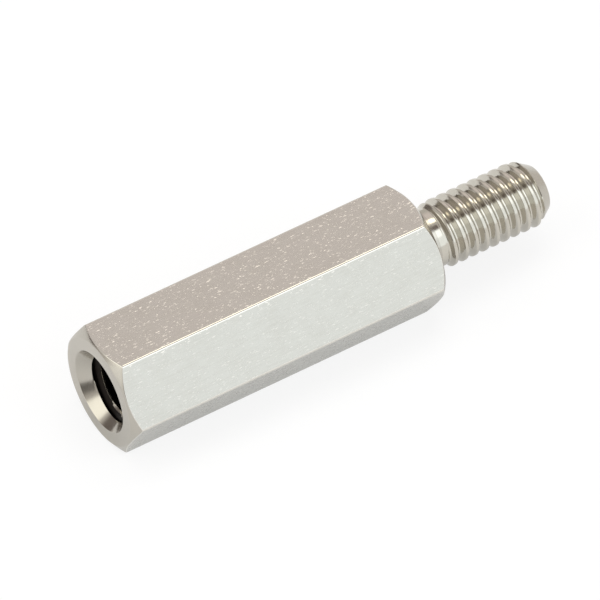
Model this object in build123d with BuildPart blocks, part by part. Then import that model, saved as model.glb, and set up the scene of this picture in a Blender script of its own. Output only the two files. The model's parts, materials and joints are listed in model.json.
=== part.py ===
"""Hex standoff, female to male: M3 x 0.5, turned in one piece from 5 mm hexagonal bar.

Frame, in millimetres: the origin is the centre of the female end face. +X runs along the axis, from the
threaded hole to the threaded stud. +Z is up and square to a flat, so the part lies along X on its lowest flat.

The thread is left plain here. The stud is turned to the thread's major diameter and the hole is drilled to
its minor diameter, which are the two surfaces that a screw and a nut locate on.
"""

import math
import os

from build123d import *

# Hexagonal bar. Bright-drawn 5 mm bar is supplied up to 0.075 mm under its nominal size.
across_flats = 4.95
bar_corner_radius = 0.12

# Hexagonal body, from the female end face to the shoulder. Each end face is a circle set in from the flats.
body_length = 15.0
female_face_inset = 0.075
female_chamfer_angle = 35.0
shoulder_face_inset = 0.055
shoulder_chamfer_angle = 40.0

# Threaded hole, drilled from the female end and countersunk.
hole_diameter = 2.5
hole_depth = 9.0
drill_point_angle = 118.0
countersink_diameter = 3.63
countersink_angle = 72.0

# Threaded stud and the relief neck that lets a nut or a board seat flat on the shoulder.
stud_diameter = 2.88
stud_length = 6.0
neck_diameter = 2.55
neck_length = 0.6
neck_run_out_angle = 45.0
shoulder_seat_clearance = 0.04
tip_diameter = 1.96
tip_chamfer_length = 0.68

# Sizes that follow from the ones above.
radius_to_corners = across_flats / math.sqrt(3)
female_face_radius = across_flats / 2 - female_face_inset
shoulder_face_radius = across_flats / 2 - shoulder_face_inset
tip_position = body_length + stud_length


def chamfer_length(face_radius, angle):
    """Length along the axis of an end chamfer, from its end face out to the bar's sharp corners."""
    return (radius_to_corners - face_radius) * math.tan(math.radians(angle))


with BuildPart() as hex_standoff:
    # The bar, as drawn: six flats with a small radius along each corner.
    with BuildSketch(Plane.YZ):
        RegularPolygon(radius=across_flats / 2, side_count=6, major_radius=False)
        fillet(vertices(), radius=bar_corner_radius)
    extrude(amount=body_length)

    # Both ends are faced and chamfered in the lathe, so each chamfer is a cone that meets the flats in arcs.
    female_chamfer = chamfer_length(female_face_radius, female_chamfer_angle)
    shoulder_chamfer = chamfer_length(shoulder_face_radius, shoulder_chamfer_angle)
    with BuildSketch(Plane.XZ):
        with BuildLine():
            Polyline(
                (0, 0),
                (0, female_face_radius),
                (female_chamfer, radius_to_corners),
                (body_length - shoulder_chamfer, radius_to_corners),
                (body_length, shoulder_face_radius),
                (body_length, 0),
                close=True,
            )
        make_face()
    revolve(axis=Axis.X, mode=Mode.INTERSECT)

    # The stud and its neck. The neck's root radius ends outside the stud's own radius, so that the flat
    # shoulder starts clear of anything that slides down the stud.
    neck_radius = neck_diameter / 2
    stud_radius = stud_diameter / 2
    neck_root_radius = stud_radius - neck_radius + shoulder_seat_clearance
    run_out_length = (stud_radius - neck_radius) / math.tan(math.radians(neck_run_out_angle))
    with BuildSketch(Plane.XZ):
        with BuildLine():
            Line((body_length, 0), (body_length, neck_radius + neck_root_radius))
            RadiusArc(
                (body_length, neck_radius + neck_root_radius),
                (body_length + neck_root_radius, neck_radius),
                neck_root_radius,
            )
            Polyline(
                (body_length + neck_root_radius, neck_radius),
                (body_length + neck_length, neck_radius),
                (body_length + neck_length + run_out_length, stud_radius),
                (tip_position - tip_chamfer_length, stud_radius),
                (tip_position, tip_diameter / 2),
                (tip_position, 0),
                (body_length, 0),
            )
        make_face()
    revolve(axis=Axis.X)

    # The hole: countersink, drilled wall and drill point.
    hole_radius = hole_diameter / 2
    countersink_depth = (countersink_diameter / 2 - hole_radius) / math.tan(math.radians(countersink_angle / 2))
    drill_point_length = hole_radius / math.tan(math.radians(drill_point_angle / 2))
    with BuildSketch(Plane.XZ):
        with BuildLine():
            Polyline(
                (0, 0),
                (0, countersink_diameter / 2),
                (countersink_depth, hole_radius),
                (hole_depth, hole_radius),
                (hole_depth + drill_point_length, 0),
                close=True,
            )
        make_face()
    revolve(axis=Axis.X, mode=Mode.SUBTRACT)

hex_standoff.part.label = "hex_standoff"

os.makedirs("parts", exist_ok=True)
export_step(hex_standoff.part, "parts/hex_standoff.step")
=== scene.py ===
"""Nickel-plated hex standoff, female to male, lying on one of its flats.

The whole part is one turned and plated piece, so it is built as one skin: the hexagonal body is made row by
row round the bar, and both threads are helical grids that Geometry Nodes lays out. Lengths in the classes
are in millimetres, in the frame of the CAD part; the finished mesh is scaled to metres.
"""

import json
import logging
import math
from dataclasses import dataclass, field
from enum import Enum

import bmesh
import bpy
from mathutils import Matrix, Vector, noise


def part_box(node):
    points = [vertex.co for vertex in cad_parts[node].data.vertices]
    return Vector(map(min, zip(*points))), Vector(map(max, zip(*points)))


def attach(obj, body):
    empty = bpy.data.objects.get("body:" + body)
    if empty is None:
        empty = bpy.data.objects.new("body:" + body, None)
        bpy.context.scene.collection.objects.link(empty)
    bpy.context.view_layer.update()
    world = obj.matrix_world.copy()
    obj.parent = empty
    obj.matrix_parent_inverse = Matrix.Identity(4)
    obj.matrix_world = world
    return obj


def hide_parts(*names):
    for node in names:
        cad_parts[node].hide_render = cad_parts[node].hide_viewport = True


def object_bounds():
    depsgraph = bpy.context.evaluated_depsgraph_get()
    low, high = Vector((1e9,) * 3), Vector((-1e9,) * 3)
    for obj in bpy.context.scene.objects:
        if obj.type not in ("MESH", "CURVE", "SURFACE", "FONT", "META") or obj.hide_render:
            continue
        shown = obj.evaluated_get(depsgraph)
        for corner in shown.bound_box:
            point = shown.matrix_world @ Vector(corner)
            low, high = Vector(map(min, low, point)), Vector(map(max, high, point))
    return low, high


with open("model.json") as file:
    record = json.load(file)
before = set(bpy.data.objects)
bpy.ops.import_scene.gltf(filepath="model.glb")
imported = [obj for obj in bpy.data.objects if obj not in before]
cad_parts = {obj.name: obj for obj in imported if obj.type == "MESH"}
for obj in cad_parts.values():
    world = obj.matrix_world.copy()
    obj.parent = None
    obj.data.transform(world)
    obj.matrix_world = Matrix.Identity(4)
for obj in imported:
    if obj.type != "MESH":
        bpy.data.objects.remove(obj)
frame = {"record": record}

LOG = logging.getLogger("hex_standoff")
MM = 0.001
CAD_BOX = [list(corner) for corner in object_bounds()]
MERGE_DISTANCE = 0.0004
CAP_SHARES = (0.75, 0.5, 0.25, 0.1)


class Zone(Enum):
    """The ways the surface was made, in the order of the mesh's material slots; the hole's zone is painted
    shade and the ridges' zone carries a painted highlight.
    """

    DRAWN = 0
    TURNED = 1
    THREADED = 2
    # Painted shade: the hole's grooves, wall and drill point are painted near-black.
    HOLE_SHADE = 3
    # Burnished rounded edges, with a painted highlight colour.
    RIDGE = 4


class Side(Enum):
    """Which side of its pitch cylinder a thread's metal lies on."""

    EXTERNAL = 1
    INTERNAL = -1


class Socket(Enum):
    """Socket types used by the thread's node tree."""

    GEOMETRY = "NodeSocketGeometry"
    FLOAT = "NodeSocketFloat"
    INTEGER = "NodeSocketInt"
    MATERIAL = "NodeSocketMaterial"


# ----------------------------------------------------------------------------
# Finishes
# ----------------------------------------------------------------------------


class NodeWriter:
    """Short-hand for adding linked nodes to a shader or geometry tree."""

    def __init__(self, tree: bpy.types.NodeTree) -> None:
        """Keeps the tree to write to.

        Args:
            tree: the node tree that receives the nodes.
        """
        self.tree = tree

    def add(self, kind: str, inputs: dict | None = None, **settings: object) -> bpy.types.Node:
        """Adds one node.

        Args:
            kind: the node's bl_idname.
            inputs: values or output sockets for its inputs, by name or index.
            settings: properties set on the node before its inputs.

        Returns:
            The new node.
        """
        node = self.tree.nodes.new(kind)
        for name, value in settings.items():
            setattr(node, name, value)
        for key, value in (inputs or {}).items():
            if isinstance(value, bpy.types.NodeSocket):
                self.tree.links.new(value, node.inputs[key])
            else:
                node.inputs[key].default_value = value
        return node

    def math(self, operation: str, *values: object) -> bpy.types.NodeSocket:
        """Adds a Math node.

        Args:
            operation: the Math node's operation.
            values: its inputs in order, as numbers or sockets.

        Returns:
            The node's output socket.
        """
        return self.add("ShaderNodeMath", dict(enumerate(values)), operation=operation).outputs[0]

    def vector_math(self, operation: str, *values: object) -> bpy.types.Node:
        """Adds a Vector Math node and returns it."""
        return self.add("ShaderNodeVectorMath", dict(enumerate(values)), operation=operation)

    def ramp(self, value: bpy.types.NodeSocket, low: float, high: float, out_low: float,
             out_high: float) -> bpy.types.NodeSocket:
        """Maps a value smoothly from one range onto another.

        Args:
            value: the socket to map.
            low: value that gives out_low.
            high: value that gives out_high.
            out_low: result at and below low.
            out_high: result at and above high.

        Returns:
            The mapped socket.
        """
        inputs = {"Value": value, "From Min": low, "From Max": high, "To Min": out_low, "To Max": out_high}
        return self.add("ShaderNodeMapRange", inputs, interpolation_type="SMOOTHSTEP").outputs[0]

    def mix_colour(self, factor: object, first: object, second: object,
                   blend: str = "MIX") -> bpy.types.NodeSocket:
        """Mixes two colours.

        Args:
            factor: share of the second colour.
            first: colour or socket.
            second: colour or socket.
            blend: how the second colour is laid on the first.

        Returns:
            The mixed colour's socket.
        """
        node = self.add("ShaderNodeMix", {0: factor, 6: first, 7: second},
                        data_type="RGBA", blend_type=blend)
        return node.outputs[2]


@dataclass(frozen=True)
class DingLayer:
    """One layer of short marks, all of one size and lie."""

    size_mm: float
    turn: float
    stretch: float


DING_LAYERS = (
    DingLayer(0.17, 0.05, 3.2),
    DingLayer(0.16, -0.5, 3.4),
    DingLayer(0.15, -0.9, 2.8),
    DingLayer(0.14, 1.2, 1.6),
    DingLayer(0.12, -0.4, 2.4),
    DingLayer(0.10, 0.3, 1.5),
)


@dataclass(frozen=True)
class NickelPlate:
    """Bright nickel plate over brass, as it looks on one kind of surface.

    The marks are what the surface brings: short dings on the drawn flats, which carry a near-white painted
    glint, full on the top flat and weaker on the flats below, fine rings on what was turned, and a smoother,
    slightly stained film in the thread. The same class paints the hole's grooves near-black as painted
    shade.
    """

    name: str
    colour: tuple[float, float, float] = (0.54, 0.53, 0.49)
    stain: tuple[float, float, float] = (0.46, 0.445, 0.40)
    stain_share: float = 0.35
    roughness: float = 0.22
    ding_share: float = 0.0
    ding_depth_mm: float = 0.003
    ding_glint_colour: tuple[float, float, float] = (0.98, 0.94, 0.88)
    ding_roughness: float = 0.45
    full_dings_above_mm: float = 2.4
    lower_ding_share: float = 0.3
    draw_line_depth_mm: float = 0.0
    draw_line_share: float = 0.22
    ring_depth_mm: float = 0.0
    ring_spacing_mm: float = 0.05
    ripple_mm: float = 0.0015
    ripple_size_mm: float = 1.2

    def material(self) -> bpy.types.Material:
        """Builds the node material.

        Returns:
            The material, which reads Object coordinates only.
        """
        material = bpy.data.materials.new(self.name)
        material.use_nodes = True
        tree = material.node_tree
        tree.nodes.clear()
        write = NodeWriter(tree)
        place = write.add("ShaderNodeTexCoord").outputs["Object"]
        place_mm = write.vector_math("SCALE", place).outputs[0]
        place_mm.node.inputs["Scale"].default_value = 1 / MM

        colour = self._colour(write, place_mm)
        roughness = self._roughness(write, place_mm)
        height, dings_and_glints = self._height(write, place_mm)
        # Painted glint: the dings are mixed towards a near-white cream, standing in for the lamp light they
        # catch; their roughness rises too.
        if dings_and_glints is not None:
            colour = write.mix_colour(dings_and_glints, colour, (*self.ding_glint_colour, 1))
            less = write.math("SUBTRACT", self.ding_roughness, roughness)
            roughness = write.math("MULTIPLY_ADD", less, dings_and_glints, roughness)
        bump = write.add("ShaderNodeBump", {"Height": height, "Strength": 1.0, "Distance": MM})
        shader = write.add("ShaderNodeBsdfPrincipled", {
            "Base Color": colour,
            "Metallic": 1.0,
            "Roughness": roughness,
            "Normal": bump.outputs[0],
        })
        write.add("ShaderNodeOutputMaterial", {"Surface": shader.outputs[0]})
        return material

    def _colour(self, write: NodeWriter, place_mm: bpy.types.NodeSocket) -> bpy.types.NodeSocket:
        """Returns the plate's colour with its cloudy, slightly darker film."""
        cloud = write.add("ShaderNodeTexNoise", {
            "Vector": place_mm, "Scale": 0.9, "Detail": 5.0, "Roughness": 0.6})
        share = write.ramp(cloud.outputs[0], 0.42, 0.68, 0.0, self.stain_share)
        if self.draw_line_depth_mm:
            lines = write.add("ShaderNodeMapping", {"Vector": place_mm, "Scale": (1.2, 18.0, 18.0)})
            drawn = write.add("ShaderNodeTexNoise", {
                "Vector": lines.outputs[0], "Scale": 1.0, "Detail": 4.0})
            lined = write.ramp(drawn.outputs[0], 0.45, 0.65, 0.0, self.draw_line_share)
            share = write.math("ADD", share, lined)
        return write.mix_colour(share, (*self.colour, 1), (*self.stain, 1))

    def _roughness(self, write: NodeWriter, place_mm: bpy.types.NodeSocket) -> bpy.types.NodeSocket:
        """Returns roughness that wanders a little round its mean."""
        patch = write.add("ShaderNodeTexNoise", {"Vector": place_mm, "Scale": 2.2, "Detail": 4.0})
        return write.ramp(patch.outputs[0], 0.3, 0.7, self.roughness * 0.92, self.roughness * 1.08)

    def _height(self, write: NodeWriter,
                place_mm: bpy.types.NodeSocket) -> tuple[bpy.types.NodeSocket, bpy.types.NodeSocket | None]:
        """Returns the surface's height in millimetres, and the mask of its dings if it has any."""
        ripple = write.add("ShaderNodeTexNoise", {
            "Vector": place_mm, "Scale": 1 / self.ripple_size_mm, "Detail": 2.0, "Roughness": 0.4})
        height = write.math("MULTIPLY", ripple.outputs[0], self.ripple_mm)
        if self.ring_depth_mm:
            axis = write.add("ShaderNodeSeparateXYZ", {0: place_mm})
            radius = write.math("SQRT", write.math(
                "ADD", write.math("POWER", axis.outputs[1], 2.0), write.math("POWER", axis.outputs[2], 2.0)))
            along = write.math("ADD", radius, axis.outputs[0])
            turns = write.add("ShaderNodeTexNoise", {
                "W": write.math("DIVIDE", along, self.ring_spacing_mm), "Scale": 1.0, "Detail": 2.0},
                noise_dimensions="1D")
            height = write.math("ADD", height, write.math("MULTIPLY", turns.outputs[0], self.ring_depth_mm))
        if self.draw_line_depth_mm:
            lines = write.add("ShaderNodeMapping", {"Vector": place_mm, "Scale": (0.7, 14.0, 14.0)})
            drawn = write.add("ShaderNodeTexNoise", {
                "Vector": lines.outputs[0], "Scale": 1.0, "Detail": 3.0})
            height = write.math("MULTIPLY_ADD", drawn.outputs[0], self.draw_line_depth_mm, height)
        if not self.ding_share:
            return height, None
        dings_and_glints = self._dings_and_glints(write, place_mm)
        return write.math("MULTIPLY_ADD", dings_and_glints, -self.ding_depth_mm, height), dings_and_glints

    def _dings_and_glints(self, write: NodeWriter, place_mm: bpy.types.NodeSocket) -> bpy.types.NodeSocket:
        """Returns a mask of short scratches and pits, in several directions and sizes, full on the top flat
        and at a lower share below; it also places the dings' painted glint.
        """
        mask = None
        for layer in DING_LAYERS:
            turned = write.add("ShaderNodeMapping", {
                "Vector": place_mm, "Rotation": (0.2, 0.0, layer.turn),
                "Scale": (1 / layer.stretch, 1.0, 1.0)})
            warp = write.add("ShaderNodeTexNoise", {
                "Vector": turned.outputs[0], "Scale": 3.0, "Detail": 1.0})
            bent = write.vector_math("MULTIPLY_ADD", warp.outputs["Color"], (0.2,) * 3, turned.outputs[0])
            cells = write.add("ShaderNodeTexVoronoi", {
                "Vector": bent.outputs[0], "Scale": 1 / layer.size_mm})
            chance = write.add("ShaderNodeSeparateColor", {0: cells.outputs["Color"]})
            chosen = write.math("LESS_THAN", chance.outputs[0], self.ding_share)
            spot = write.ramp(cells.outputs["Distance"], 0.08, 0.21, 1.0, 0.0)
            strength = write.math("MULTIPLY", write.math("MULTIPLY", spot, chosen), chance.outputs[1])
            mask = strength if mask is None else write.math("MAXIMUM", mask, strength)
        # Dents and their painted glints weighted by height: full on the top flat, the lower share on the
        # flats below.
        height = write.add("ShaderNodeSeparateXYZ", {0: place_mm}).outputs[2]
        height_weight = write.ramp(height, self.full_dings_above_mm - 0.2, self.full_dings_above_mm,
                            self.lower_ding_share, 1.0)
        return write.math("MULTIPLY", mask, height_weight)


@dataclass(frozen=True)
class FloorFinish:
    """Plain pale paper floor."""

    name: str = "pale_floor"
    colour: tuple[float, float, float] = (0.92, 0.93, 0.95)
    seen_share: float = 0.82
    reflected_share: float = 0.35

    def material(self) -> bpy.types.Material:
        """Builds the paper: white where it is lit, and still shaded under the part.

        Returns:
            The material.
        """
        material = bpy.data.materials.new(self.name)
        material.use_nodes = True
        tree = material.node_tree
        tree.nodes.clear()
        write = NodeWriter(tree)
        paper = write.add("ShaderNodeBsdfDiffuse", {"Color": (*self.colour, 1), "Roughness": 0.4})
        white = write.add("ShaderNodeEmission", {"Color": (1.0, 1.0, 1.0, 1.0), "Strength": 1.0})
        seen = write.add("ShaderNodeLightPath").outputs
        looked_at = write.math("MAXIMUM", seen["Is Camera Ray"], seen["Is Transmission Ray"])
        share = write.math("MAXIMUM", write.math("MULTIPLY", looked_at, self.seen_share),
                           write.math("MULTIPLY", seen["Is Glossy Ray"], self.reflected_share))
        both = write.add("ShaderNodeMixShader", {0: share, 1: paper.outputs[0], 2: white.outputs[0]})
        write.add("ShaderNodeOutputMaterial", {"Surface": both.outputs[0]})
        return material


# ----------------------------------------------------------------------------
# Threads
# ----------------------------------------------------------------------------


@dataclass
class Thread:
    """One helical thread surface, laid out by Geometry Nodes as a grid that is sheared along the helix.

    The grid's rows follow the helix, so crests and roots stay sharp. Rows are held at the two end planes.
    A cone cuts the crests back at the free end, and towards the other end the thread fades into the plain
    blank.
    """

    name: str
    side: Side
    start: float
    end: float
    crest_radius: float
    root_radius: float
    blank_radius: float
    cone_at: float
    cone_radius: float
    cone_slope: float
    fade_from: float
    fade_length: float
    pitch: float = 0.5
    phase: float = 0.0
    crest_flat: float = 0.125
    flank_slope_angle: float = 57.0
    crest_rounding: float = 0.03
    root_rounding: float = 0.045
    cone_rounding: float = 0.0
    rows_per_pitch: int = 16
    segments: int = 144

    def inputs(self, material: bpy.types.Material) -> dict[str, tuple[Socket, object]]:
        """Lists the tree's named inputs and this thread's values for them."""
        pitches = math.ceil((self.end - self.start) / self.pitch) + 1
        return {
            "Segments": (Socket.INTEGER, self.segments + 1),
            "Rows": (Socket.INTEGER, pitches * self.rows_per_pitch + 1),
            "Pitches": (Socket.FLOAT, float(pitches)),
            "Pitch": (Socket.FLOAT, self.pitch),
            "Start": (Socket.FLOAT, self.start),
            "End": (Socket.FLOAT, self.end),
            "Side": (Socket.FLOAT, float(self.side.value)),
            "Phase": (Socket.FLOAT, self.phase),
            "Crest Radius": (Socket.FLOAT, self.crest_radius),
            "Root Radius": (Socket.FLOAT, self.root_radius),
            "Blank Radius": (Socket.FLOAT, self.blank_radius),
            "Crest Flat": (Socket.FLOAT, self.crest_flat),
            "Flank Slope": (Socket.FLOAT, math.tan(math.radians(self.flank_slope_angle))),
            "Crest Rounding": (Socket.FLOAT, self.crest_rounding),
            "Root Rounding": (Socket.FLOAT, self.root_rounding),
            "Cone At": (Socket.FLOAT, self.cone_at),
            "Cone Radius": (Socket.FLOAT, self.cone_radius),
            "Cone Slope": (Socket.FLOAT, self.cone_slope),
            "Cone Rounding": (Socket.FLOAT, self.cone_rounding),
            "Fade From": (Socket.FLOAT, self.fade_from),
            "Fade Length": (Socket.FLOAT, self.fade_length),
            "Material": (Socket.MATERIAL, material),
        }

    def tree(self, material: bpy.types.Material) -> bpy.types.NodeTree:
        """Builds the Geometry Nodes tree.

        Args:
            material: handed to inputs() for its list of inputs; its value is not used here.

        Returns:
            The tree, with one named input for each size.
        """
        tree = bpy.data.node_groups.new(f"{self.name}_nodes", "GeometryNodeTree")
        tree.interface.new_socket("Geometry", in_out="OUTPUT", socket_type=Socket.GEOMETRY.value)
        tree.interface.new_socket("Geometry", in_out="INPUT", socket_type=Socket.GEOMETRY.value)
        for label, (kind, _) in self.inputs(material).items():
            tree.interface.new_socket(label, in_out="INPUT", socket_type=kind.value)
        write = NodeWriter(tree)
        size = write.add("NodeGroupInput").outputs

        grid = write.add("GeometryNodeMeshGrid", {
            "Size X": 1.0, "Size Y": 1.0, "Vertices X": size["Segments"], "Vertices Y": size["Rows"]})
        across = write.add("ShaderNodeSeparateXYZ", {0: write.add("GeometryNodeInputPosition").outputs[0]})
        turn = write.math("ADD", across.outputs[0], 0.5)
        angle = write.math("MULTIPLY", turn, math.tau)
        pitch_number = write.math(
            "MULTIPLY_ADD", write.math("ADD", across.outputs[1], 0.5), size["Pitches"], -1.0)
        turned = write.math("ADD", write.math("ADD", pitch_number, turn), size["Phase"])
        helix = write.math("MULTIPLY_ADD", turned, size["Pitch"], size["Start"])
        along = write.math("MINIMUM", write.math("MAXIMUM", helix, size["Start"]), size["End"])

        radius = self._radius(write, size, along, turn)
        place = write.add("ShaderNodeCombineXYZ", {
            0: along,
            1: write.math("MULTIPLY", radius, write.math("COSINE", angle)),
            2: write.math("MULTIPLY", radius, write.math("SINE", angle)),
        })
        moved = write.add("GeometryNodeSetPosition", {
            "Geometry": grid.outputs["Mesh"], "Position": place.outputs[0]})
        joined = write.add("GeometryNodeMergeByDistance", {
            "Geometry": moved.outputs[0], "Distance": MERGE_DISTANCE})
        real = write.add("GeometryNodeRealizeInstances", {"Geometry": joined.outputs[0]})
        dressed = write.add("GeometryNodeSetMaterial", {
            "Geometry": real.outputs[0], "Material": size["Material"]})
        write.add("NodeGroupOutput", {"Geometry": dressed.outputs[0]})
        return tree

    @staticmethod
    def _radius(write: NodeWriter, size: bpy.types.NodeOutputs, along: bpy.types.NodeSocket,
                turn: bpy.types.NodeSocket) -> bpy.types.NodeSocket:
        """Works out the surface's radius; inside, radii are negated so that one set of rules serves both."""
        side = size["Side"]
        crest = write.math("MULTIPLY", size["Crest Radius"], side)
        root = write.math("MULTIPLY", size["Root Radius"], side)
        blank = write.math("MULTIPLY", size["Blank Radius"], side)
        pitches = write.math("DIVIDE", write.math("SUBTRACT", along, size["Start"]), size["Pitch"])
        phase = write.math("SUBTRACT", write.math("SUBTRACT", pitches, turn), size["Phase"])
        from_crest = write.math("MULTIPLY", write.math("PINGPONG", phase, 0.5), size["Pitch"])
        half_flat = write.math("MULTIPLY", size["Crest Flat"], 0.5)
        flank = write.math(
            "MULTIPLY_ADD", write.math("SUBTRACT", half_flat, from_crest), size["Flank Slope"], crest)
        rooted = write.math("SMOOTH_MAX", root, flank, size["Root Rounding"])
        form = write.math("SMOOTH_MIN", crest, rooted, size["Crest Rounding"])

        faded = write.math("DIVIDE", write.math("SUBTRACT", along, size["Fade From"]), size["Fade Length"])
        share = write.ramp(faded, 0.0, 1.0, 0.0, 1.0)
        form = write.math("MULTIPLY_ADD", write.math("SUBTRACT", form, blank), share, blank)
        cone = write.math("MULTIPLY", side, write.math(
            "MULTIPLY_ADD", write.math("SUBTRACT", along, size["Cone At"]), size["Cone Slope"],
            size["Cone Radius"]))
        form = write.math("SMOOTH_MIN", form, cone, size["Cone Rounding"])
        return write.math("MULTIPLY", form, side)

    def mesh(self, material: bpy.types.Material) -> bpy.types.Mesh:
        """Runs the tree and takes its result as a plain mesh.

        Args:
            material: the thread's finish.

        Returns:
            The mesh, in millimetres, open at both ends.
        """
        carrier = bpy.data.objects.new(self.name, bpy.data.meshes.new(self.name))
        bpy.context.scene.collection.objects.link(carrier)
        modifier = carrier.modifiers.new("thread", "NODES")
        modifier.node_group = self.tree(material)
        values = self.inputs(material)
        for item in modifier.node_group.interface.items_tree:
            if item.in_out == "INPUT" and item.name in values:
                modifier[item.identifier] = values[item.name][1]
        evaluated = carrier.evaluated_get(bpy.context.evaluated_depsgraph_get())
        mesh = bpy.data.meshes.new_from_object(evaluated)
        carrier.modifiers.remove(modifier)
        bpy.data.objects.remove(carrier)
        return mesh


# ----------------------------------------------------------------------------
# The standoff
# ----------------------------------------------------------------------------


def rounded_corner(before: tuple[float, float], corner: tuple[float, float], after: tuple[float, float],
                   radius: float, steps: int) -> list[tuple[float, float]]:
    """Rounds one corner of an outline.

    Args:
        before: the point before the corner.
        corner: the sharp corner.
        after: the point after it.
        radius: radius of the arc.
        steps: number of chords in the arc.

    Returns:
        The arc's points, from the side of before to the side of after.
    """
    here = Vector(corner)
    back = (Vector(before) - here).normalized()
    ahead = (Vector(after) - here).normalized()
    half = back.angle(ahead) / 2
    centre = here + (back + ahead).normalized() * (radius / math.sin(half))
    first = here + back * (radius / math.tan(half)) - centre
    last = here + ahead * (radius / math.tan(half)) - centre
    swing = first.angle_signed(last)
    turned = [first @ Matrix.Rotation(swing * step / steps, 2) for step in range(steps + 1)]
    if (turned[-1] - last).length > (turned[-1] + last).length or (turned[-1] - last).length > radius * 0.01:
        turned = [first @ Matrix.Rotation(-swing * step / steps, 2) for step in range(steps + 1)]
    return [tuple(centre + arm) for arm in turned]


@dataclass
class HexBar:
    """Cross-section of the hexagonal bar, with the small radius along its corners."""

    across_flats: float
    corner_radius: float = 0.12
    corner_steps: int = 8
    flat_steps: int = 12

    def angles(self) -> list[float]:
        """Returns the angles round the bar at which it is cut, close together at the corners."""
        reach = self._arc_reach()
        sector = math.pi / 3
        result = []
        for corner in range(6):
            middle = corner * sector
            turns = [2 * step / self.corner_steps - 1 for step in range(self.corner_steps)]
            result += [middle + reach * turn for turn in turns]
            span = sector - 2 * reach
            shares = [0.0, 0.03] + [step / self.flat_steps for step in range(1, self.flat_steps)] + [0.97]
            result += [middle + reach + span * share for share in shares]
        return result

    def radius(self, angle: float) -> float:
        """Returns the distance from the axis to the bar's surface at an angle.

        Args:
            angle: angle about the axis, from a corner.

        Returns:
            The distance, in millimetres.
        """
        off = self.off_corner(angle)
        if off >= self._arc_reach():
            return self.across_flats / 2 / math.cos(math.pi / 6 - off)
        centre = self._arc_centre()
        aside = centre * math.sin(off)
        return centre * math.cos(off) + math.sqrt(self.corner_radius**2 - aside**2)

    def on_corner(self, angle: float, angles: list[float]) -> bool:
        """Returns whether the strip that starts at an angle lies on a corner's radius."""
        following = angles[(angles.index(angle) + 1) % len(angles)]
        reach = self._arc_reach() * 1.001
        return self.off_corner(angle) <= reach and self.off_corner(following) <= reach

    def off_corner(self, angle: float) -> float:
        """Returns the angle to the nearest corner."""
        within = angle % (math.pi / 3)
        return min(within, math.pi / 3 - within)

    def _arc_centre(self) -> float:
        """Returns the distance from the axis to the centre of a corner's radius."""
        return (self.across_flats / 2 - self.corner_radius) / math.cos(math.pi / 6)

    def _arc_reach(self) -> float:
        """Returns the angle from a corner to where its radius meets the flat."""
        sideways = self.corner_radius * math.sin(math.pi / 6)
        outwards = self._arc_centre() + self.corner_radius * math.cos(math.pi / 6)
        return math.atan2(sideways, outwards)


@dataclass
class EndForm:
    """Turned face and chamfer at one end of the body."""

    at: float
    inward: int
    face_radius: float
    chamfer_angle: float
    edge_radius: float = 0.035
    edge_steps: int = 3

    def crease(self, bar_radius: float) -> tuple[float, float]:
        """Returns where the chamfer's cone meets the bar, as a place along the axis and a radius."""
        run = (bar_radius - self.face_radius) * math.tan(math.radians(self.chamfer_angle))
        return self.at + self.inward * run, bar_radius

    def rows(self, bar_radius: float) -> list[tuple[float, float]]:
        """Returns the outline from the end face out to the bar's surface.

        Args:
            bar_radius: distance from the axis to the bar's surface at this angle.

        Returns:
            Points as place along the axis and radius.
        """
        face = (self.at, self.face_radius)
        crease = self.crease(bar_radius)
        centre = (self.at, 0.0)
        along = (crease[0] + self.inward, bar_radius)
        return (rounded_corner(centre, face, crease, self.edge_radius, self.edge_steps)
                + rounded_corner(face, crease, along, self.edge_radius, self.edge_steps))


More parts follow.
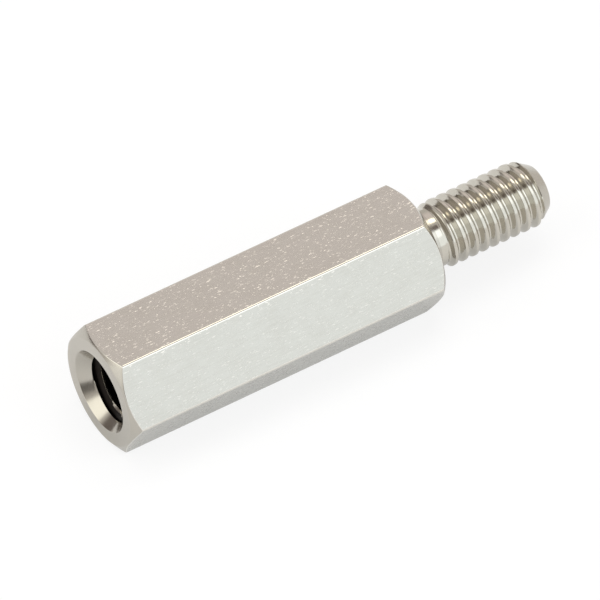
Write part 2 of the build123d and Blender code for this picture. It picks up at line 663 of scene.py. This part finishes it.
@dataclass
class HexStandoff:
    """The standoff: bar, end forms, hole, neck and stud, joined into one skin."""

    name: str = "plated_standoff"
    node: str = "hex_standoff"
    slot: str = "nickel"
    flat_rows: int = 170
    nick_depth: float = 0.008
    nick_reach: float = 0.05
    sharp_angle: float = 38.0
    neck_diameter: float = 2.55
    neck_length: float = 0.6
    neck_root_allowance: float = 0.04
    run_out_start: float = 0.18
    run_out_length: float = 0.4
    tip_diameter: float = 1.96
    tip_chamfer_length: float = 0.68
    tip_edge_radius: float = 0.12
    countersink_diameter: float = 3.63
    countersink_angle: float = 72.0
    mouth_edge_radius: float = 0.04
    hole_depth: float = 9.0
    thread_depth: float = 8.0
    drill_point_angle: float = 118.0
    thread_major_radius_inside: float = 1.52
    thread_root_radius_outside: float = 1.21
    female_inset: float = 0.075
    female_chamfer_angle: float = 35.0
    shoulder_inset: float = 0.055
    shoulder_chamfer_angle: float = 40.0
    cone_tolerance: float = 0.012
    unshaded_crest_height: float = 0.015
    tip_at: float = field(init=False)
    shoulder_at: float = field(init=False)
    stud_radius: float = field(init=False)
    hole_radius: float = field(init=False)
    bar: HexBar = field(init=False)
    female: EndForm = field(init=False)
    shoulder: EndForm = field(init=False)

    def __post_init__(self) -> None:
        """Takes the overall sizes from the CAD part and its mounts."""
        low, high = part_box(self.node)
        mounts = {mount["name"]: mount for mount in frame["record"]["mounts"]}
        self.tip_at = high.x / MM
        self.shoulder_at = mounts["shoulder"]["pos_m"][0] / MM
        self.stud_radius = mounts["stud"]["dims"]["r_mm"]
        self.hole_radius = mounts["threaded_hole"]["dims"]["r_mm"]
        self.bar = HexBar(across_flats=(high.z - low.z) / MM)
        half = self.bar.across_flats / 2
        self.female = EndForm(at=0.0, inward=1, face_radius=half - self.female_inset,
                              chamfer_angle=self.female_chamfer_angle)
        self.shoulder = EndForm(at=self.shoulder_at, inward=-1, face_radius=half - self.shoulder_inset,
                                chamfer_angle=self.shoulder_chamfer_angle)

    # Threads

    def stud_thread(self) -> Thread:
        """Returns the stud's thread, from the end of the neck to the tip."""
        return Thread(
            name="stud_thread", side=Side.EXTERNAL,
            start=self.shoulder_at + self.neck_length, end=self.tip_at - self.tip_edge_reach(),
            crest_radius=self.stud_radius, root_radius=self.thread_root_radius_outside,
            blank_radius=self.neck_diameter / 2,
            cone_at=self.tip_at, cone_radius=self.tip_diameter / 2, cone_slope=-self.tip_slope(),
            cone_rounding=0.06,
            fade_from=self.shoulder_at + self.neck_length + self.run_out_start,
            fade_length=self.run_out_length, phase=-0.32,
        )

    def hole_thread(self) -> Thread:
        """Returns the thread in the hole, from the countersink's mouth to the end of the tapped length."""
        lead = self.mouth_edge_reach()
        return Thread(
            name="hole_thread", side=Side.INTERNAL,
            start=lead, end=self.thread_depth,
            crest_radius=self.hole_radius, root_radius=self.thread_major_radius_inside,
            blank_radius=self.hole_radius,
            cone_at=0.0, cone_radius=self.countersink_diameter / 2, cone_slope=-self.mouth_slope(),
            fade_from=self.thread_depth, fade_length=-1.0, rows_per_pitch=12, segments=96,
            crest_rounding=0.02, root_rounding=0.03, phase=-0.216, crest_flat=0.07,
        )

    def tip_slope(self) -> float:
        """Returns how fast the tip's chamfer narrows along the axis."""
        return (self.stud_radius - self.tip_diameter / 2) / self.tip_chamfer_length

    def tip_edge_reach(self) -> float:
        """Returns how far back along the axis the tip's rounded edge starts."""
        return self.tip_edge_radius * (1 - math.sin(math.atan(self.tip_slope())))

    def mouth_slope(self) -> float:
        """Returns how fast the countersink narrows along the axis."""
        return math.tan(math.radians(self.countersink_angle / 2))

    def mouth_edge_reach(self) -> float:
        """Returns how deep the countersink's rounded mouth goes."""
        return self.mouth_edge_radius * (1 - math.sin(math.radians(self.countersink_angle / 2)))

    # Skin

    def build(self, finishes: dict[Zone, bpy.types.Material]) -> bpy.types.Object:
        """Builds the skin and dresses it.

        Args:
            finishes: one material for each zone.

        Returns:
            The finished object, in metres, at the origin.
        """
        skin = bmesh.new()
        for thread in (self.hole_thread(), self.stud_thread()):
            part = thread.mesh(finishes[Zone.THREADED])
            before = len(skin.faces)
            skin.from_mesh(part)
            bpy.data.meshes.remove(part)
            skin.faces.ensure_lookup_table()
            for face in skin.faces[before:]:
                face.material_index = self._thread_zone(thread, face).value
            LOG.info("%s: %d faces", thread.name, len(skin.faces) - before)
        front_ring, back_ring = self._add_body(skin)
        self._add_mouth(skin, front_ring)
        self._add_hole_end(skin)
        self._add_neck(skin, back_ring)
        self._add_tip(skin)
        bmesh.ops.remove_doubles(skin, verts=skin.verts, dist=MERGE_DISTANCE)
        bmesh.ops.dissolve_degenerate(skin, edges=skin.edges, dist=MERGE_DISTANCE / 4)
        bmesh.ops.recalc_face_normals(skin, faces=skin.faces)
        open_edges = sum(1 for edge in skin.edges if not edge.is_manifold)
        LOG.info("skin: %d faces, %d open or crossed edges", len(skin.faces), open_edges)
        bmesh.ops.scale(skin, vec=(MM,) * 3, verts=skin.verts)
        for face in skin.faces:
            face.smooth = True
        mesh = bpy.data.meshes.new(self.name)
        for zone in Zone:
            mesh.materials.append(finishes[zone])
        skin.to_mesh(mesh)
        skin.free()
        mesh.set_sharp_from_angle(angle=math.radians(self.sharp_angle))
        piece = bpy.data.objects.new(self.name, mesh)
        bpy.context.scene.collection.objects.link(piece)
        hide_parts(self.node)
        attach(piece, "root")
        return piece

    def _thread_zone(self, thread: Thread, face: bmesh.types.BMFace) -> Zone:
        """Returns the zone of a face of a thread's mesh.

        The cones and the crests in the hole were turned or drilled and get the turned plate; the tap's
        grooves in the hole are painted near-black as painted shade for the dark inside of the hole.
        """
        centre = face.calc_center_median()
        radius = math.hypot(centre.y, centre.z)
        cone = thread.cone_radius + (centre.x - thread.cone_at) * thread.cone_slope
        if abs(radius - cone) < self.cone_tolerance:
            return Zone.TURNED
        if thread.side is Side.EXTERNAL:
            return Zone.THREADED
        # Crests keep the turned plate; lower faces get the hole's near-black painted shade.
        unshaded = radius < self.hole_radius + self.unshaded_crest_height
        return Zone.TURNED if unshaded else Zone.HOLE_SHADE

    @staticmethod
    def _ring(skin: bmesh.types.BMesh, points: list[tuple[float, float, float]]) -> list[bmesh.types.BMVert]:
        """Adds a ring of vertices, each given by place along the axis, radius and angle."""
        return [skin.verts.new((along, radius * math.cos(angle), radius * math.sin(angle)))
                for along, radius, angle in points]

    @staticmethod
    def _join(skin: bmesh.types.BMesh, rings: list[list[bmesh.types.BMVert]], zone: Zone) -> None:
        """Joins rings of equal count by quads.

        Args:
            skin: the mesh to add to.
            rings: rings in order, each going once round the axis.
            zone: the new faces' zone.
        """
        for first, second in zip(rings, rings[1:]):
            count = len(first)
            for index in range(count):
                after = (index + 1) % count
                face = skin.faces.new((first[index], first[after], second[after], second[index]))
                face.material_index = zone.value

    @staticmethod
    def _zip(skin: bmesh.types.BMesh, outer: list[bmesh.types.BMVert], inner: list[bmesh.types.BMVert],
             zone: Zone) -> None:
        """Closes a flat ring between two circles of different counts, both starting at angle zero.

        Args:
            skin: the mesh to add to.
            outer: vertices of the outer circle.
            inner: vertices of the inner circle.
            zone: the new faces' zone.
        """
        def turns(ring: list[bmesh.types.BMVert]) -> list[float]:
            """Returns the ring's angles, rising from its first vertex through one full turn."""
            angles = [math.atan2(vertex.co.z, vertex.co.y) for vertex in ring]
            rising = [angles[0]]
            for angle in angles[1:]:
                rising.append(rising[-1] + (angle - rising[-1]) % math.tau)
            return rising + [angles[0] + math.tau]

        out_turns, in_turns = turns(outer), turns(inner)
        out_step, in_step = 0, 0
        while out_step < len(outer) or in_step < len(inner):
            out_now, in_now = outer[out_step % len(outer)], inner[in_step % len(inner)]
            out_next = outer[(out_step + 1) % len(outer)]
            in_next = inner[(in_step + 1) % len(inner)]
            out_turn = out_turns[out_step + 1] if out_step < len(outer) else math.inf
            in_turn = in_turns[in_step + 1] if in_step < len(inner) else math.inf
            if out_turn <= in_turn:
                face = skin.faces.new((out_now, out_next, in_now))
                out_step += 1
            else:
                face = skin.faces.new((out_now, in_next, in_now))
                in_step += 1
            face.material_index = zone.value

    def _circle(self, skin: bmesh.types.BMesh, along: float, radius: float,
                count: int) -> list[bmesh.types.BMVert]:
        """Adds an even circle of vertices and returns it."""
        return self._ring(skin, [(along, radius, math.tau * step / count) for step in range(count)])

    def _nick(self, along: float, angle: float) -> float:
        """Returns how far the surface is dented at a corner of the bar by handling."""
        corner = round(angle / (math.pi / 3))
        near = max(0.0, 1 - self.bar.off_corner(angle) / self.nick_reach)
        coarse = noise.noise(Vector((along * 2.3, corner * 7.1, 0.0)))
        fine = noise.noise(Vector((along * 7.0, corner * 3.7, 5.0)))
        return self.nick_depth * near * max(0.0, 0.6 * coarse + 0.8 * fine - 0.18)

    def _add_body(self, skin: bmesh.types.BMesh) -> tuple[list, list]:
        """Adds the hexagonal body with its chamfers, and returns its front and back end circles."""
        slices = []
        for angle in self.bar.angles():
            radius = self.bar.radius(angle)
            front = self.female.rows(radius)
            back = self.shoulder.rows(radius)[::-1]
            first, last = front[-1][0], back[0][0]
            flat = []
            for row in range(1, self.flat_rows):
                along = first + (last - first) * row / self.flat_rows
                flat.append((along, radius - self._nick(along, angle)))
            slices.append([(along, distance, angle) for along, distance in front + flat + back])
        rings = [self._ring(skin, list(row)) for row in zip(*slices)]
        steps = self.female.edge_steps
        ends = 2 * (steps + 1)
        self._join(skin, rings[:steps + 2], Zone.TURNED)
        # The rounded edges into both chamfers join the ridges' zone, burnished and painted lighter as a
        # painted highlight.
        self._join(skin, rings[steps + 1:ends], Zone.RIDGE)
        self._join(skin, rings[ends - 1:-ends + 1], Zone.DRAWN)
        self._burnish_and_highlight_ridges(skin, rings[ends - 1:-ends + 1])
        self._join(skin, rings[-ends:-steps - 1], Zone.RIDGE)
        self._join(skin, rings[-steps - 2:], Zone.TURNED)
        return rings[0], rings[-1]

    def _burnish_and_highlight_ridges(self, skin: bmesh.types.BMesh, rings: list[list[bmesh.types.BMVert]]) -> None:
        """Moves the faces on the bar's six rounded corners to the ridges' zone, which is burnished smoother
        and painted lighter as a painted highlight.

        Args:
            skin: the mesh that holds the body.
            rings: the body's rings between its chamfers.
        """
        angles = self.bar.angles()
        corners = [index for index, angle in enumerate(angles) if self.bar.on_corner(angle, angles)]
        for ring in rings[:-1]:
            for index in corners:
                for face in ring[index].link_faces:
                    ahead = ring[(index + 1) % len(ring)] in face.verts
                    if ahead and face.material_index == Zone.DRAWN.value:
                        face.material_index = Zone.RIDGE.value

    def _add_mouth(self, skin: bmesh.types.BMesh, front_ring: list[bmesh.types.BMVert]) -> None:
        """Adds the female end face and the rounded mouth of the countersink."""
        count = self.hole_thread().segments
        radius = self.countersink_diameter / 2
        slope = self.mouth_slope()
        outline = rounded_corner((0.0, radius + 1), (0.0, radius), (1.0, radius - slope),
                                 self.mouth_edge_radius, 4)
        lead = self.hole_thread().start
        outline = [point for point in outline if point[0] < lead] + [(lead, radius - lead * slope)]
        rings = [self._circle(skin, along, distance, count) for along, distance in outline]
        self._join(skin, rings, Zone.TURNED)
        self._zip(skin, front_ring, rings[0], Zone.TURNED)

    def _add_hole_end(self, skin: bmesh.types.BMesh) -> None:
        """Adds the plain wall below the thread and the drill point, both painted near-black as painted
        shade.
        """
        count = self.hole_thread().segments
        point = self.hole_radius / math.tan(math.radians(self.drill_point_angle / 2))
        wall = [self._circle(skin, along, self.hole_radius, count)
                for along in (self.thread_depth, self.hole_depth)]
        self._join(skin, wall, Zone.HOLE_SHADE)
        self._cap(skin, wall[-1], self.hole_depth + point, Zone.HOLE_SHADE)

    def _cap(self, skin: bmesh.types.BMesh, ring: list[bmesh.types.BMVert], along: float,
             zone: Zone) -> None:
        """Closes a circle with rings that shrink to one vertex on the axis.

        Args:
            skin: the mesh to add to.
            ring: the circle to close.
            along: place of the centre along the axis.
            zone: the new faces' zone.
        """
        count = len(ring)
        start, radius = ring[0].co.x, math.hypot(ring[0].co.y, ring[0].co.z)
        rings = [ring]
        for share in CAP_SHARES:
            rings.append(self._circle(skin, along + (start - along) * share, radius * share, count))
        self._join(skin, rings, zone)
        middle = skin.verts.new((along, 0, 0))
        for index in range(count):
            face = skin.faces.new((rings[-1][index], rings[-1][(index + 1) % count], middle))
            face.material_index = zone.value

    def _add_neck(self, skin: bmesh.types.BMesh, back_ring: list[bmesh.types.BMVert]) -> None:
        """Adds the shoulder face, the neck's root radius and the plain neck."""
        count = self.stud_thread().segments
        neck = self.neck_diameter / 2
        root = self.stud_radius - neck + self.neck_root_allowance
        start, end = self.shoulder_at, self.shoulder_at + self.neck_length
        outline = rounded_corner((start, neck + 1), (start, neck), (start + 1, neck), root, 8)
        outline += [(start + root + (end - start - root) * step / 4, neck) for step in range(1, 5)]
        rings = [self._circle(skin, along, distance, count) for along, distance in outline]
        self._join(skin, rings, Zone.TURNED)
        self._zip(skin, back_ring, rings[0], Zone.TURNED)

    def _add_tip(self, skin: bmesh.types.BMesh) -> None:
        """Adds the rounded edge of the tip and its end face."""
        thread = self.stud_thread()
        lead = thread.end
        radius = self.tip_diameter / 2
        slope = self.tip_slope()
        outline = rounded_corner((self.tip_at - 1, radius + slope), (self.tip_at, radius),
                                 (self.tip_at, 0.0), self.tip_edge_radius, 6)
        start = (lead, radius + (self.tip_at - lead) * slope)
        outline = [start] + [point for point in outline if point[0] > lead + MERGE_DISTANCE]
        rings = [self._circle(skin, along, distance, thread.segments) for along, distance in outline]
        self._join(skin, rings, Zone.TURNED)
        self._cap(skin, rings[-1], self.tip_at, Zone.TURNED)


# ----------------------------------------------------------------------------
# Studio
# ----------------------------------------------------------------------------


@dataclass(frozen=True)
class SoftBox:
    """One soft light panel of the studio, as a patch of the surroundings.

    Azimuth is measured from +Y towards +X and elevation from the floor up, both in degrees.
    """

    azimuth: float
    elevation: float
    half_width: float
    soft_edge: float
    colour: tuple[float, float, float]

    def direction(self) -> tuple[float, float, float]:
        """Returns the unit vector towards the panel's middle."""
        azimuth, elevation = math.radians(self.azimuth), math.radians(self.elevation)
        flat = math.cos(elevation)
        return flat * math.sin(azimuth), flat * math.cos(azimuth), math.sin(elevation)


@dataclass
class Studio:
    """Pale floor, soft surroundings, one overhead lamp and the camera."""

    floor_size: float = 1.6
    walls: tuple[float, float, float] = (0.70, 0.665, 0.63)
    panels: tuple[SoftBox, ...] = (
        SoftBox(158.0, 14.0, 34.0, 10.0, (1.37, 1.43, 1.46)),
        SoftBox(151.0, 49.0, 16.0, 4.0, (1.90, 1.98, 2.02)),
        SoftBox(125.0, 63.0, 9.0, 3.0, (0.24, 0.20, 0.19)),
        SoftBox(75.0, 2.0, 24.0, 8.0, (0.90, 0.86, 0.82)),
        SoftBox(32.0, 42.0, 15.0, 10.0, (0.97, 0.88, 0.86)),
        SoftBox(60.0, 62.0, 9.0, 2.5, (3.2, 3.0, 2.6)),
        SoftBox(-86.0, 4.0, 16.0, 8.0, (1.40, 1.39, 1.35)),
        SoftBox(-28.0, 12.0, 22.0, 4.0, (0.23, 0.20, 0.185)),
        SoftBox(-149.0, 8.0, 13.0, 5.0, (0.18, 0.17, 0.16)),
        SoftBox(-126.0, 9.0, 14.0, 5.0, (0.22, 0.21, 0.20)),
        SoftBox(-82.0, 38.0, 24.0, 4.0, (1.93, 1.90, 1.76)),
    )
    lamp_energy: float = 0.62
    lamp_size: float = 0.35
    lamp_height: float = 0.5
    aim_mm: tuple[float, float, float] = (9.495, -0.089, 0.0)
    camera_azimuth: float = 30.95
    camera_elevation: float = 45.335
    camera_roll: float = 1.927
    camera_distance: float = 0.50607
    camera_lens: float = 751.38

    def build(self) -> None:
        """Sets up the floor, light and camera."""
        self._add_floor()
        self._set_world()
        self._add_lamp()
        self._add_camera()
        bpy.context.scene.view_settings.view_transform = "Standard"

    def _add_floor(self) -> None:
        """Adds the floor at the height of the part's lowest flat."""
        height = CAD_BOX[0][2]
        half = self.floor_size / 2
        mesh = bpy.data.meshes.new("floor")
        corners = [(-half, -half, height), (half, -half, height),
                   (half, half, height), (-half, half, height)]
        mesh.from_pydata(corners, [], [(0, 1, 2, 3)])
        mesh.materials.append(FloorFinish().material())
        floor = bpy.data.objects.new("floor", mesh)
        bpy.context.scene.collection.objects.link(floor)
        LOG.info("floor at %.4f m", height)

    def _set_world(self) -> None:
        """Makes the surroundings: plain walls with soft panels, shown plain white behind the scene."""
        world = bpy.data.worlds.new("studio")
        world.use_nodes = True
        tree = world.node_tree
        tree.nodes.clear()
        write = NodeWriter(tree)
        towards = write.add("ShaderNodeTexCoord").outputs["Generated"]
        unit = write.vector_math("NORMALIZE", towards).outputs[0]
        light = (*self.walls, 1)
        for panel in self.panels:
            facing = write.vector_math("DOT_PRODUCT", unit, panel.direction()).outputs["Value"]
            off = write.math("MULTIPLY", write.math("ARCCOSINE", facing), 180 / math.pi)
            share = write.ramp(off, panel.half_width - panel.soft_edge,
                               panel.half_width + panel.soft_edge, 1.0, 0.0)
            light = write.mix_colour(share, light, (*panel.colour, 1))
        seen = write.add("ShaderNodeLightPath")
        shown = write.mix_colour(seen.outputs["Is Camera Ray"], light, (1.0, 1.0, 1.0, 1))
        background = write.add("ShaderNodeBackground", {"Color": shown, "Strength": 1.0})
        write.add("ShaderNodeOutputWorld", {"Surface": background.outputs[0]})
        bpy.context.scene.world = world

    def _add_lamp(self) -> None:
        """Adds the broad lamp overhead, which lights the floor and gives the soft shadow."""
        lamp = bpy.data.lights.new("overhead_lamp", "AREA")
        lamp.shape = "DISK"
        lamp.size = self.lamp_size
        lamp.energy = self.lamp_energy
        lamp.color = (1.0, 0.99, 0.97)
        holder = bpy.data.objects.new("overhead_lamp", lamp)
        holder.location = (self.aim_mm[0] * MM, 0.05, self.lamp_height)
        holder.visible_glossy = False
        bpy.context.scene.collection.objects.link(holder)

    def _add_camera(self) -> None:
        """Adds the camera, turned about its aim point."""
        camera = bpy.data.cameras.new("camera")
        camera.lens = self.camera_lens
        camera.sensor_width = 36.0
        camera.clip_start = 0.01
        holder = bpy.data.objects.new("camera", camera)
        azimuth, elevation = math.radians(self.camera_azimuth), math.radians(self.camera_elevation)
        forward = Vector((math.cos(elevation) * math.sin(azimuth), math.cos(elevation) * math.cos(azimuth),
                          -math.sin(elevation)))
        level = forward.to_track_quat("-Z", "Y").to_matrix().to_4x4()
        roll = Matrix.Rotation(math.radians(-self.camera_roll), 4, "Z")
        place = Vector(self.aim_mm) * MM - forward * self.camera_distance
        holder.matrix_world = Matrix.Translation(place) @ level @ roll
        bpy.context.scene.collection.objects.link(holder)
        bpy.context.scene.camera = holder


def main() -> None:
    """Builds the standoff and the studio."""
    logging.basicConfig(level=logging.INFO, format="%(name)s: %(message)s")
    finishes = {
        Zone.DRAWN: NickelPlate(
            "nickel_drawn_flats", ding_share=0.85, roughness=0.26, stain_share=0.15,
            draw_line_depth_mm=0.0009).material(),
        Zone.TURNED: NickelPlate(
            "nickel_turned", colour=(0.475, 0.45, 0.40), ring_depth_mm=0.0012, roughness=0.2,
            stain_share=0.2).material(),
        Zone.THREADED: NickelPlate(
            "nickel_thread", colour=(0.56, 0.535, 0.475), roughness=0.14, stain_share=0.2).material(),
        # Painted shade: the hole's grooves, wall and drill point are near-black to stand in for the dark
        # inside of the hole.
        Zone.HOLE_SHADE: NickelPlate(
            "painted_shade_hole_grooves", colour=(0.018, 0.015, 0.013), stain=(0.012, 0.010, 0.009),
            roughness=0.35).material(),
        # Ridges: burnished smoother by tumbling, and painted lighter than the flats as a painted highlight.
        Zone.RIDGE: NickelPlate(
            "burnished_ridges_painted_highlight", colour=(0.68, 0.66, 0.61), stain_share=0.1,
            roughness=0.08).material(),
    }
    piece = HexStandoff().build(finishes)
    LOG.info("%s: %d faces", piece.name, len(piece.data.polygons))
    Studio().build()
    bpy.context.view_layer.update()


if __name__ == "__main__":
    main()
